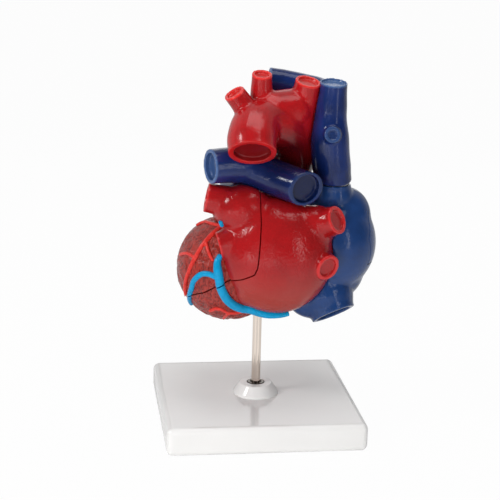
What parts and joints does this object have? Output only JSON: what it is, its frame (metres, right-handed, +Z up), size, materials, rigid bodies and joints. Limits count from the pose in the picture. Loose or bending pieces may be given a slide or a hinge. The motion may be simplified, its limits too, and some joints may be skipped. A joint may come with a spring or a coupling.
{
  "type": "human heart anatomy model",
  "caption": "Teaching model of a heart that comes apart at magnetic seams, on a rod and a square base; it lifts off and turns.",
  "frame": {"origin": "middle of the base's underside, on the rod's axis", "axes": "+Z up along the rod, -Y towards the back of the heart (the side that the picture shows), -X towards the heart's left side"},
  "size_m": [0.1924, 0.175, 0.3182],
  "materials": {
    "white_plastic": "injection moulded ABS, polished and glossy",
    "chrome_rod": "bright drawn and plated steel",
    "socket_steel": "turned steel tube",
    "magnet_steel": "nickel plated magnet discs",
    "muscle": "PVC painted by hand in streaked brown red, satin lacquer",
    "atrium_red": "PVC painted deep red, glossy lacquer",
    "artery_red": "PVC painted bright red, glossy lacquer",
    "coronary_red": "PVC painted signal red, glossy lacquer",
    "vein_blue": "PVC painted dark blue, glossy lacquer",
    "pale_blue": "PVC painted sky blue, glossy lacquer",
    "leaflet": "thin ivory PVC, matt"
  },
  "bodies": {
    "stand": {"base_plate": "white_plastic", "support_rod": "chrome_rod", "rod_washer": "chrome_rod"},
    "sleeve": {"rod_socket": "socket_steel"},
    "heart_core": {"ventricle_core": "muscle", "left_atrium_back": "atrium_red", "right_atrium_back": "vein_blue", "aortic_root": "artery_red", "mitral_valve": "leaflet", "tricuspid_valve": "leaflet", "aortic_valve": "leaflet", "lung_valve": "leaflet", "coronary_sinus": "pale_blue", "back_vein": "pale_blue", "lower_artery": "coronary_red", "front_magnet_1_core": "magnet_steel", "front_magnet_2_core": "magnet_steel", "left_magnet_1_core": "magnet_steel", "left_magnet_2_core": "magnet_steel", "right_magnet_1_core": "magnet_steel", "right_magnet_2_core": "magnet_steel", "aorta_magnet_core": "magnet_steel", "vein_magnet_core": "magnet_steel"},
    "left_wall": {"left_ventricle_wall": "muscle", "left_atrium_wall": "atrium_red", "great_cardiac_vein": "pale_blue", "crown_artery": "coronary_red", "left_magnet_1_outer": "magnet_steel", "left_magnet_2_outer": "magnet_steel"},
    "front_wall": {"front_ventricle_wall": "muscle", "front_artery": "coronary_red", "front_vein": "pale_blue", "right_artery": "coronary_red", "front_magnet_1_outer": "magnet_steel", "front_magnet_2_outer": "magnet_steel"},
    "right_wall": {"right_atrium_wall": "vein_blue", "right_magnet_1_outer": "magnet_steel", "right_magnet_2_outer": "magnet_steel"},
    "great_vessels": {"aortic_arch": "artery_red", "lung_arteries": "vein_blue", "upper_hollow_vein": "vein_blue", "aorta_magnet_outer": "magnet_steel", "vein_magnet_outer": "magnet_steel"}
  },
  "joints": [
    {"name": "heart_lift", "type": "slide", "parent": "stand", "child": "sleeve", "axis": [0, 0, 1], "range_m": [0, 0.04]},
    {"name": "heart_turn", "type": "hinge", "parent": "sleeve", "child": "heart_core", "pos_m": [0, 0, 0.12], "axis": [0, 0, 1], "continuous": true},
    {"name": "left_wall_off", "type": "slide", "parent": "heart_core", "child": "left_wall", "axis": [-0.8, -0.6, 0], "range_m": [0, 0.1]},
    {"name": "front_wall_off", "type": "slide", "parent": "heart_core", "child": "front_wall", "axis": [0, 1, 0], "range_m": [0, 0.08]},
    {"name": "right_wall_off", "type": "slide", "parent": "heart_core", "child": "right_wall", "axis": [0.9, 0.436, 0], "range_m": [0, 0.08]},
    {"name": "great_vessels_off", "type": "slide", "parent": "heart_core", "child": "great_vessels", "axis": [0, 0, 1], "range_m": [0, 0.08]}
  ]
}
